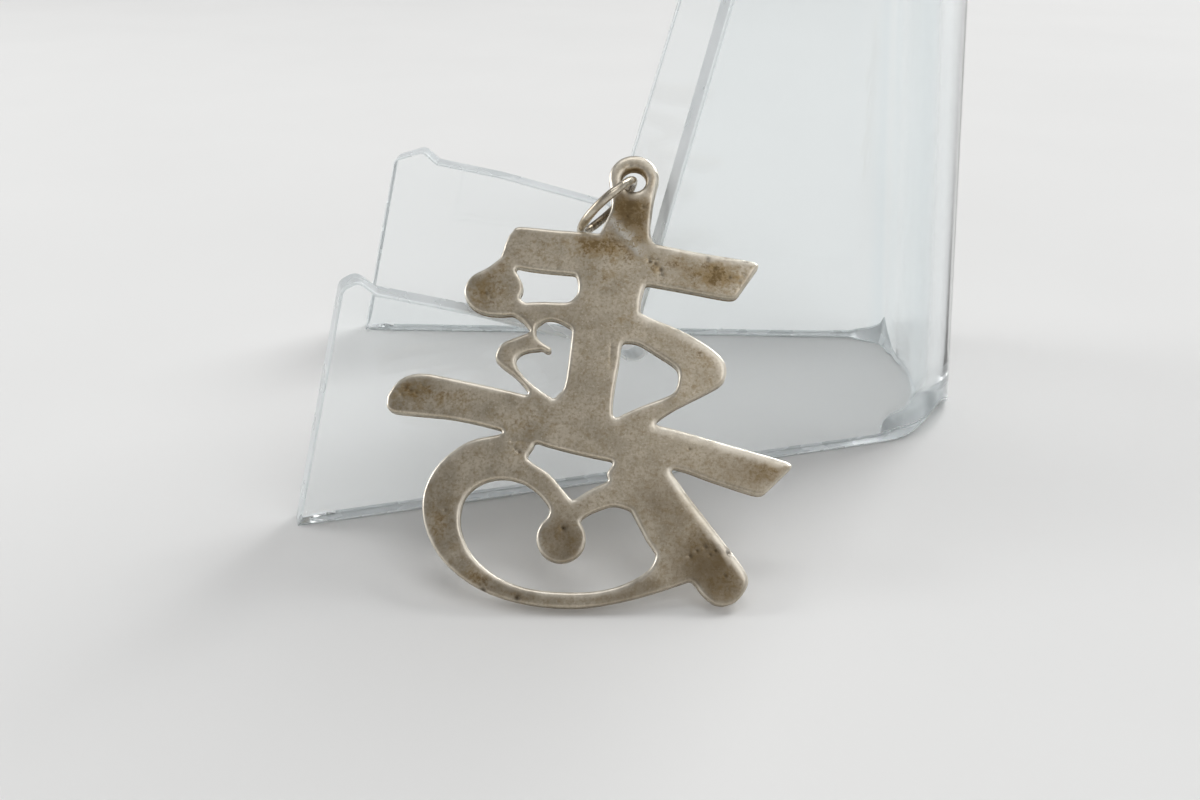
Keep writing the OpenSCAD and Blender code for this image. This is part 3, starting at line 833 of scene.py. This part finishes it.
def clear_sheet():
    n = Nodes("clear_acrylic")
    scuffs = n.span(n.noise(0.5, 2, 0.5, stretch=(0.06, 1, 0.3), turn=(0.2, 0.4, 0.3)), 0.68, 0.74)
    haze = n.noise(9.0, 3, 0.6)
    streaks = n.span(n.attribute("ripples"), 0.2, 0.9)
    s = n.shader.inputs
    n.join(n.mix(streaks, (0.965, 0.985, 0.99), (0.91, 0.955, 0.97)), s["Base Color"])
    s["Transmission Weight"].default_value = 1.0
    s["IOR"].default_value = ACRYLIC_IOR
    rough = n.math("ADD", n.span(haze, 0.4, 0.7, 0.0, 0.02), n.math("MULTIPLY", scuffs, 0.08))
    n.join(n.math("ADD", rough, n.math("MULTIPLY", streaks, 0.14)), s["Roughness"])
    n.join(n.bump(scuffs, 0.004, 0.4), s["Normal"])
    return n.mat


def sheet_edge():
    n = Nodes("sawn_acrylic_edge")
    saw = n.noise(5.0, 2, 0.5)
    s = n.shader.inputs
    n.join(n.mix(n.span(saw, 0.3, 0.7), (0.86, 0.92, 0.93), (0.93, 0.97, 0.98)), s["Base Color"])
    s["Transmission Weight"].default_value = 0.35
    s["IOR"].default_value = ACRYLIC_IOR
    n.join(n.span(saw, 0.3, 0.7, 0.2, 0.4), s["Roughness"])
    n.join(n.bump(saw, 0.03, 0.2), s["Normal"])
    return n.mat


def floor_matte():
    n = Nodes("pale_floor")
    n.join(n.mix(n.noise(60, 2), (0.78, 0.78, 0.77), (0.82, 0.82, 0.81)), n.shader.inputs["Base Color"])
    n.shader.inputs["Roughness"].default_value = 0.9
    n.shader.inputs["Specular IOR Level"].default_value = 0.15
    return n.mat


def paint(obj, *mats):
    for mat in mats:
        obj.data.materials.append(mat)


# Stage

LIGHT_AIM = (0, -0.01, 0.02)


def build_stage():
    mesh = bpy.data.meshes.new("floor")
    half, below = 3.0, -0.0001
    corners = ((-half, -half), (half, -half), (half, half), (-half, half))
    mesh.from_pydata([(x, y, below) for x, y in corners], [], [(0, 1, 2, 3)])
    floor = bpy.data.objects.new("floor", mesh)
    bpy.context.scene.collection.objects.link(floor)
    paint(floor, floor_matte())
    world = bpy.data.worlds.new("studio")
    world.use_nodes = True
    nodes, links = world.node_tree.nodes, world.node_tree.links
    coords, split = nodes.new("ShaderNodeTexCoord"), nodes.new("ShaderNodeSeparateXYZ")
    ramp = nodes.new("ShaderNodeValToRGB")
    links.new(coords.outputs["Generated"], split.inputs[0])
    links.new(split.outputs["Z"], ramp.inputs["Fac"])
    stops = ramp.color_ramp.elements
    stops.new(0.5)
    # The sky's height on the ramp and its brightness there
    for stop, (place, level) in zip(stops, ((0.0, 0.75), (0.3, 0.6), (0.75, 0.22))):
        stop.position, stop.color = place, (level, level, level * 1.01, 1)
    links.new(ramp.outputs["Color"], nodes["Background"].inputs["Color"])
    bpy.context.scene.world = world
    bpy.context.scene.view_settings.view_transform = "Standard"
    # Place and size in metres, and power in watts
    soft_light("back_right", (1.0, 1.0, 1.3), (0.95, 0.95), 19.0)
    soft_light("front_right", (0.34, -0.40, 0.72), (0.5, 0.45), 1.05)
    soft_light("top", (0.0, 0.12, 0.95), (0.5, 0.35), 1.0)
    soft_light("left", (-0.7, 0.15, 0.3), (0.3, 0.5), 2.0)


def soft_light(name, place, size, watts):
    """An area light that points at the pendant."""
    data = bpy.data.lights.new(name, "AREA")
    data.shape, data.size, data.size_y, data.energy = "RECTANGLE", size[0], size[1], watts
    light = bpy.data.objects.new(name, data)
    light.location = place
    light.rotation_euler = (Vector(place) - Vector(LIGHT_AIM)).to_track_quat("Z", "Y").to_euler()
    bpy.context.scene.collection.objects.link(light)


silver = plate_silver()
paint(build_plate(), silver, silver)
paint(build_ring(), wire_silver())
paint(build_stand(), clear_sheet(), sheet_edge())
build_stage()
